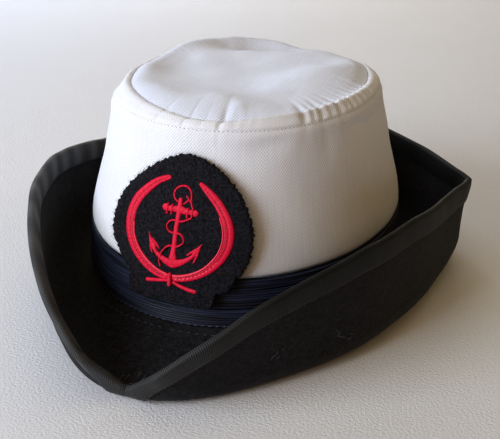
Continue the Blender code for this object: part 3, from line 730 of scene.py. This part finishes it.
# Cotton twill: fine diagonal ribs of white yarn, washed soft and matt
YARN = 0.0012                                           # drawn coarser than the real ribs, to show
twills = []
# the top panel's colours are bluer than the side's: painted light, the cool tint of the light that falls on
# the top
for name, turn, shaded, lit in (("white_cotton_twill_side", 45, "#d4d4dd", "#fefeff"),
                                ("white_cotton_twill_top", 24, "#d0d6f2", "#f8fcff")):
    twill, tree, shader = finish_named(name)
    place_on = add(tree, "TexCoord").outputs["Object"]
    laid = add(tree, "UVMap", uv_map="UVMap").outputs["UV"] if turn == 45 else place_on
    turned = add(tree, "Mapping", {"Vector": laid, "Rotation": (0, 0, radians(turn))})
    diagonal, crossing = (add(tree, "TexWave", {"Vector": turned.outputs[0], "Scale": pi / 10 / YARN,
                                                "Distortion": .9, "Detail Scale": 3.0}, bands_direction=way)
                          for way in "XY")
    weave = add(tree, "Mix", {"Factor": .3, 2: diagonal.outputs["Fac"], 3: crossing.outputs["Fac"]})
    # upright threads thicker than their neighbours, which show as faint streaks
    upright = add(tree, "Mapping", {"Vector": laid, "Scale": (1 / .0012, 1 / .025, 1 / .0012)})
    slub = add(tree, "TexNoise", {"Vector": upright.outputs[0], "Scale": 1.0, "Detail": 3.0})
    soiled = add(tree, "TexNoise", {"Vector": place_on, "Scale": 30.0, "Detail": 3.0})
    cotton = add(tree, "Mix", {"Factor": weave.outputs[0], 6: shaded, 7: lit}, data_type="RGBA")
    for pattern, darker in (slub, "#ececf0"), (soiled, "#f5f5f9"):
        layer = add(tree, "Mix", {"Factor": pattern.outputs["Fac"], 6: darker, 7: "#ffffff"},
                    data_type="RGBA")
        cotton = add(tree, "Mix", {"Factor": 1.0, 6: cotton.outputs[2], 7: layer.outputs[2]},
                     data_type="RGBA", blend_type="MULTIPLY")
    height = add(tree, "Math", {0: weave.outputs[0], 1: slub.outputs["Fac"]}, operation="ADD")
    bump = add(tree, "Bump", {"Height": height.outputs[0], "Strength": .6, "Distance": .00018})
    feed(shader, {"Base Color": cotton.outputs[2], "Normal": bump.outputs["Normal"], "Roughness": .85,
                  "Specular IOR Level": .3})
    twills.append(twill)
cover_side.data.materials.append(twills[0])
cover_tip.data.materials.append(twills[1])

# Topstitching along the rim: white thread, drawn down at every needle hole; a small dark bead at each hole,
# of the radius given below, is painted shade in the hole
STITCH, HOLE_SHADE = 0.0021, 0.00022                          # length of a stitch, radius of a hole
line = side[len(wall) - 1]
line_way = normals(side)[len(wall) - 1]
long = lengths(line)
sewn, hole_shades = bmesh.new(), bmesh.new()
for at in np.linspace(0, long[-1], int(long[-1] / STITCH) + 1)[:-1]:
    here, there, far = (Vector(sampled(line, long, q)) for q in (at, at + STITCH / 2, at + STITCH))
    out_way = Vector(sampled(line_way, long, at)).normalized()
    stitch(sewn, there + out_way * .00012, (far - here).normalized(), out_way, (STITCH * .4, .00022, .0002))
    bmesh.ops.create_icosphere(hole_shades, subdivisions=1, radius=HOLE_SHADE, matrix=Matrix.Translation(here))
trim("topstitching", sewn, "white_cotton_thread", "#e9e9ec", .7)
trim("needle_hole_shades", hole_shades, "painted_needle_hole_shade", "#6b625a", 1.0)

# BADGE PATCH.  A piece of navy-black wool felt, cut by hand round the embroidery and tacked over the band
# and the front of the cover.  Its cut edge is a little ragged, with fibres standing out.
BADGE_FELT = 0.0022
BADGE_RADIUS = 0.100                # the patch is flatter than the crown behind it
# Outline of the patch: millimetres from the hat's middle line and above the table
PATCH = [(2.4, 99), (-5.3, 96.4), (-14.4, 91.2), (-25.2, 81.9), (-31.5, 73.4), (-34.5, 66.2), (-35.9, 58.2),
         (-34.7, 52.1), (-30.9, 46.8), (-26.9, 42.1), (-23.4, 39), (-23, 33.4), (-21.6, 29.2), (-14, 28.3),
         (0.6, 29), (12.4, 28.3), (21.6, 28.4), (22.7, 33.4), (24.4, 35.4), (28.8, 36.9), (31.4, 41.8),
         (34.2, 45.8), (37.1, 52.9), (37.6, 63.2), (36.7, 68.3), (33, 77.3), (28.9, 84.2), (19.7, 93.2),
         (11.6, 97.6), (6.7, 98.8)]
PATCH_MIDDLE = 1.0, 61.0


def flowing(line, step, closed=False):
    """Points about a step apart on a smooth curve through a line of points."""
    line = np.array(line, float)
    if closed:
        line = np.concatenate([line[-1:], line, line[:2]])
    else:
        line = np.concatenate([2 * line[:1] - line[1:2], line, 2 * line[-1:] - line[-2:-1]])
    points = []
    for before, a, b, after in zip(line, line[1:], line[2:], line[3:]):
        count = max(2, int(np.ceil(np.linalg.norm((b - a)[:2]) / step)))
        near, far = np.linalg.norm((b - a)[:2]), np.linalg.norm((a - before)[:2])
        last = np.linalg.norm((after - b)[:2])
        slope_a = (b - before) / (near + far) * near
        slope_b = (after - a) / (near + last) * near
        points += [between(t, a, b, slope_a, slope_b) for t in np.arange(count) / count]
    points.append(line[-2])
    return np.array(points)


def on_badge(x, z, out):
    """Places over the patch's back, in metres from millimetres; the patch leans back with the crown."""
    x, z = x / 1000, z / 1000
    slope = (.815 - .982) * HEAD_HALF_LENGTH / (STITCH_HEIGHT - COVER_FOOT)
    front = .987 * HEAD_HALF_LENGTH + slope * (z - COVER_FOOT) + GAP
    over_band = HEAD_HALF_LENGTH + GAP - np.maximum(0, z - BAND_FOOT) * .078
    front = np.where(z < COVER_FOOT, np.maximum(front, over_band), front)
    return np.stack([MIDDLE_X + x, MIDDLE_Y - front - out + x * x / (2 * BADGE_RADIUS), z], axis=-1)


outline = flowing(PATCH, .5, closed=True)[:, :2]
from_middle = outline - PATCH_MIDDLE
go = np.linspace(0, 2 * pi, len(outline))
rng = np.random.default_rng(21)
ragged = sum(np.sin(n * go + rng.uniform(0, 2 * pi)) for n in (37, 52, 71, 90, 118)) * .0045
from_middle = from_middle * (1 + ragged)[:, None]
patch_rows = []
for share, out in ([(s, 0) for s in (0, .3, .6, .85, .96, .985)] + [(1.0, .25), (1.004, .5), (1.0, .78)]
                   + [(s, 1.0) for s in (.985, .965, .93, .88, .8, .7, .58, .45, .3, .15, 0)]):
    x, z = (PATCH_MIDDLE + from_middle * share).T
    flat = on_badge(x, z, 0)
    soft = waves(flat, .012, .00016, 31) * out + waves(flat, .004, .00006, 32) * out
    patch_rows.append(on_badge(x, z, BADGE_FELT * out + soft))
patch = cloth("felt_patch", np.array(patch_rows))
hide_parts("badge_patch")
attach(patch, "root")
# Napped felt: a raised dark nap that swallows the light, with a few specks of red thread caught in it
badge_felt, tree, shader = finish_named("napped_badge_felt")
place_on = add(tree, "TexCoord").outputs["Object"]
nap = add(tree, "TexNoise", {"Vector": place_on, "Scale": 1 / .0012, "Detail": 4.0, "Roughness": .75})
shade = add(tree, "ValToRGB", {"Fac": nap.outputs["Fac"]})
stops(shade, (.39, "#030305"), (.63, "#1f1e25"))
specks = add(tree, "TexNoise", {"Vector": place_on, "Scale": 1 / .0013, "Detail": 1.0, "W": 3.0},
             noise_dimensions="4D")
few = add(tree, "Math", {0: specks.outputs["Fac"], 1: .70}, operation="GREATER_THAN")
reddish = add(tree, "Mix", {"Factor": few.outputs[0], 6: shade.outputs["Color"], 7: "#3c1420"},
              data_type="RGBA")
bump = add(tree, "Bump", {"Height": nap.outputs["Fac"], "Strength": .8, "Distance": .0006})
feed(shader, {"Base Color": reddish.outputs[2], "Normal": bump.outputs["Normal"], "Roughness": .95,
              "Specular IOR Level": .1, "Sheen Weight": .03})
patch.data.materials.append(badge_felt)

# Loose fibres of the cut edge, and a few on the face
bm = bmesh.new()
edge = on_badge(*(PATCH_MIDDLE + from_middle).T, BADGE_FELT * .6)
for _ in range(1100):
    k = rng.integers(0, len(edge) - 1)
    at = Vector(edge[k]) + Vector(rng.normal(size=3) * .0004)
    out_way = Vector((from_middle[k, 0], -4 * rng.random(), from_middle[k, 1])).normalized()
    lean = (out_way + Vector(rng.normal(size=3)) * .55).normalized()
    long = rng.uniform(.0006, .0016)
    hair(bm, at + lean * long * .35, lean, long, .00006, .00002, 3)
fibres = piece("felt_fibres", bm)
fibres.data.materials.append(badge_felt)
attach(fibres, "root")

# EMBROIDERY.  The emblem is worked in red rayon thread: satin stitches laid side by side over padding, with
# lines of back stitch along the two arcs.  A fouled anchor is an old sign of the sea trade.
THREAD = 0.00045                    # spacing of the satin stitches
SATIN_RISE = 0.0008
ON_FELT = BADGE_FELT - 0.00015


def ways_of(spot):
    """Directions along and across a line on the badge."""
    ahead = np.gradient(spot, axis=0)
    ahead /= np.linalg.norm(ahead, axis=1, keepdims=True)
    return ahead, np.stack([-ahead[:, 1], ahead[:, 0]], axis=1)


def satin(line, rise=SATIN_RISE, halves=False):
    """A worked stroke along (x, z, width) points: rounded, ribbed by its threads, closed at its ends."""
    path = flowing(line, THREAD * 1000 / 3)
    spot, width = path[:, :2], path[:, 2]
    along = lengths(spot)
    side = ways_of(spot)[1]
    near = np.minimum(along, along[-1] - along) / np.maximum(width / 2, .3)
    ends = np.sqrt(np.clip(1 - (1 - np.minimum(near, 1)) ** 2, 0, 1))
    rows = []
    for q in np.linspace(-1, 1, 11):
        x, z = (spot + side * (q * width / 2 * ends)[:, None]).T
        full = np.sqrt(1 - q * q)
        if halves:
            full *= 1 - .45 * np.exp(-(q / .16) ** 2)
        threads = .00005 * np.cos(2 * pi * (along / 1000 / THREAD + .35 * q)) * (full > 0)
        rows.append(on_badge(x, z, ON_FELT + (rise * full + threads) * ends))
    x, z = spot.T
    rows.append(on_badge(x, z, np.full(len(x), ON_FELT - .0002)))
    rows.append(rows[0])
    return np.array(rows)


def worked(name, lines, node=None, **how):
    """An object of one or more satin strokes."""
    bm = bmesh.new()
    for line in lines:
        rows = satin(line, **how)
        part = cloth("stroke", rows)
        bm.from_mesh(part.data)
        bpy.data.objects.remove(part)
    done = piece(name, bm)
    if node:
        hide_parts(node)
    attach(done, "root")
    return done


LEFT_ARC = [(-3.4, 88.2, 2.2), (-9.5, 85.4, 3.4), (-14.9, 81.2, 4.3), (-20.1, 75.6, 5.0),
            (-23.4, 69.4, 5.3), (-24.5, 63.1, 5.5), (-23.9, 57.4, 5.5), (-21.6, 52.3, 5.3),
            (-17.9, 48.0, 4.9), (-13, 44.4, 4.5), (-7.4, 41.8, 3.9), (-1.2, 40.4, 3.2)]
RIGHT_ARC = [(11.1, 87.2, 1.8), (13.6, 85.1, 3.0), (17, 82, 4.0), (20.6, 78.2, 4.5), (24, 73, 5.0),
             (26, 68.2, 5.4), (26.8, 63.4, 5.7), (26.4, 58.5, 5.7), (24.6, 53.7, 5.4), (21.4, 49.3, 4.9),
             (17.2, 45.6, 4.2), (12, 42.8, 3.7), (6.1, 41.0, 3.3), (1.3, 40.5, 3.0)]
left_cord = worked("satin_arc_left", [LEFT_ARC], "badge_cord_left", halves=True)
right_cord = worked("satin_arc_right", [RIGHT_ARC], "badge_cord_right", halves=True)


def beside(line, shift, width):
    """A line of a share of the width to one side of a stroke."""
    line = np.array(line)
    return [(x, z, width) for x, z in line[:, :2] + ways_of(line[:, :2])[1] * line[:, 2:] * shift]


inner_edges = [beside(LEFT_ARC, .44, .9)[5:], beside(RIGHT_ARC, -.44, .9)[4:]]
edge_cords = worked("satin_edge_cords", inner_edges, rise=.00095)
SHANK = [(2.4, 79.2, 2.2), (2.2, 75.2, 2.5), (1.6, 68, 2.5), (1.1, 62, 2.5), (.9, 56.4, 2.6),
         (.7, 51.8, 3.4), (.8, 48.8, 6.4)]
STOCK = [(-6.9, 73.7, 3.6), (-5.2, 73.6, 3.9), (-2.8, 73.4, 3.0), (0, 73.5, 3.2), (2.6, 73.6, 4.0),
         (5.2, 73.1, 3.2), (8.2, 72.9, 2.8), (10.2, 72.8, 3.6), (11.8, 72.9, 3.0)]
ARMS = [(-10.6, 54.9, 1.6), (-8.8, 51.9, 2.0), (-5.7, 49.6, 2.7), (-2.4, 48.1, 3.5), (.7, 47.5, 4.4),
        (3.9, 48.2, 3.6), (6.8, 49.6, 2.7), (9.3, 51.2, 2.1), (11.4, 53.2, 1.7)]
CROWN_POINT = [(-1.4, 47.6, 1.2), (.8, 46.1, 1.4), (3.0, 47.8, 1.2)]
LEFT_FLUKE = [(-13, 60.4, .3), (-12.3, 58.2, 1.3), (-11.3, 55.9, 2.6), (-10.2, 53.9, 3.2), (-9.3, 52.4, 2.4)]
RIGHT_FLUKE = [(14.9, 58.8, .3), (13.9, 57.2, 1.3), (12.9, 55.5, 2.6), (11.8, 53.9, 3.1), (10.6, 52.6, 2.3)]
BARBS = [[(-11.9, 57.4, .8), (-11.6, 53.6, 1.3), (-10.4, 50.6, .8)], [(-11, 57.6, .9), (-8.6, 55.4, 1.3),
         (-6.6, 53.3, .8)], [(13.8, 57, .8), (10.9, 54.9, 1.3), (7.7, 52.6, .8)], [(13.6, 56.2, .9),
         (12.8, 52.8, 1.3), (11.3, 49.2, .8)]]
WRAPS = [[(-3.8, 76, 1.0), (-4.2, 70.5, 1.0)], [(-1.5, 75.8, 1.0), (-1.8, 70.6, 1.0)], [(6.7, 75.1, 1.0),
         (6.2, 70, 1.0)], [(9, 75.3, 1.0), (8.6, 70.2, 1.0)]]
ANCHOR = [SHANK, STOCK, ARMS, CROWN_POINT, LEFT_FLUKE, RIGHT_FLUKE, *BARBS]
anchor = worked("satin_anchor", ANCHOR, "badge_anchor")
wraps = worked("satin_stock_bands", WRAPS, rise=.0011)
RING = [(x, z, .9) for x, z in [(1.1, 76.8), (-.7, 78.6), (-1.2, 80.4), (-.7, 82.3), (.6, 83.8),
            (2.6, 84.7), (4.7, 84.8), (6.4, 83.8), (7.4, 82.2), (7.7, 80.3), (7.7, 78.4), (8.1, 76.4),
            (8.9, 74.6)]]
LASHING = [[(5.1, 80.5, .8), (6.3, 79.1, .8), (7.5, 77.6, .8)], [(4, 76.2, .8), (5.3, 77.5, .8),
           (6.7, 78.6, .8)]]
ring = worked("satin_ring", [RING, *LASHING], "badge_anchor_ring", rise=.0006)
ROPE = [(x, z, .9) for x, z in [(8.9, 70.4), (7.7, 70), (6.3, 69.2), (4.6, 68.4), (2.6, 68.1), (.4, 68.3),
            (-1.4, 68), (-2.8, 66.9), (-3.5, 65.1), (-2.9, 63.6), (-1.5, 62.5), (.9, 62.2), (2.9, 62.4),
            (4.5, 61.7), (5.6, 60.2), (5.6, 58.5), (4.5, 57.2), (2.2, 56), (-1.2, 55.9), (-3, 55),
            (-4.7, 53.1), (-5.6, 51.5), (-5.8, 50), (-6.3, 48.5), (-6.1, 47.1), (-5.2, 45.1)]]
rope = worked("satin_rope", [ROPE], rise=.0011)
KNOT = [[(-.1, 43, 2.2), (0, 39.8, 2.5), (.3, 36.4, 2.3)]]
TAILS = [[(-.4, 39.2, 1.4), (-5.4, 38.4, 1.7), (-10, 37.6, 1.9), (-13, 37.1, 2.1)], [(1.6, 38.8, 1.4),
         (5.8, 37.3, 1.7), (9.9, 36.2, 1.9), (14.2, 35.5, 2.1)]]
knot = worked("satin_knot", KNOT, "badge_knot", rise=.0014)
tails = worked("satin_knot_tails", TAILS, rise=.0008)
# Rayon satin: glossy red thread; the top of every strand is painted bright as a highlight, and the hollows
# between strands are painted deep red as shade
red_satin, tree, shader = finish_named("red_rayon_satin")
uv = add(tree, "UVMap", uv_map="UVMap").outputs["UV"]
strands = add(tree, "TexWave", {"Vector": uv, "Scale": pi / 10 / THREAD, "Distortion": 1.5, "Detail": 1.0},
              bands_direction="X")
shade = add(tree, "Mix", {"Factor": strands.outputs["Fac"], 6: "#ac052b", 7: "#fc1843"}, data_type="RGBA")
bump = add(tree, "Bump", {"Height": strands.outputs["Fac"], "Strength": .6, "Distance": .00012})
feed(shader, {"Base Color": shade.outputs[2], "Normal": bump.outputs["Normal"], "Roughness": .5,
              "Specular IOR Level": .2})
for part in (left_cord, right_cord, anchor, wraps, ring, rope, knot, tails):
    part.data.materials.append(red_satin)
# the raised inner edge cords are drawn in a paler red: a painted highlight along them
plain(edge_cords, "painted_highlight_red_satin", "#f0304f", .5)


def back_stitches(name, line, shift, low, high, colour, spacing=1.5):
    """A line of small stitches along a stroke, a share of its width to one side."""
    path = flowing(line, .1)
    spot, width = path[:, :2], path[:, 2]
    along = lengths(spot)
    ahead, side = ways_of(spot)
    bm = bmesh.new()
    for at in np.arange(low * along[-1], high * along[-1], spacing):
        k = int(np.searchsorted(along, at))
        x, z = spot[k] + side[k] * width[k] * shift
        here = Vector(on_badge(x, z, ON_FELT + SATIN_RISE * .75))
        there = Vector(on_badge(x + ahead[k, 0], z + ahead[k, 1], ON_FELT + SATIN_RISE * .75))
        way = (there - here).normalized()
        out_way = (Vector(on_badge(x, z, 1)) - Vector(on_badge(x, z, 0))).normalized()
        stitch(bm, here, way, out_way, (spacing * .00036, .00032, .0003))
    trim(name, bm, name + "_rayon", colour, .5)


back_stitches("stitches_left_arc", LEFT_ARC, 0, .06, .97, "#8c0320")
back_stitches("stitches_right_arc", RIGHT_ARC, -.1, .06, .62, "#8c0320")
# small stitches in the groove inside each arc, drawn in a dark red that is painted shade of the groove
back_stitches("groove_shade_stitches_left", LEFT_ARC, .26, .45, .97, "#6d0218", spacing=.9)
back_stitches("groove_shade_stitches_right", RIGHT_ARC, -.26, .36, .97, "#6d0218", spacing=.9)
back_stitches("stitches_right_foot", RIGHT_ARC, 0, .64, .98, "#f4607a", spacing=2.0)
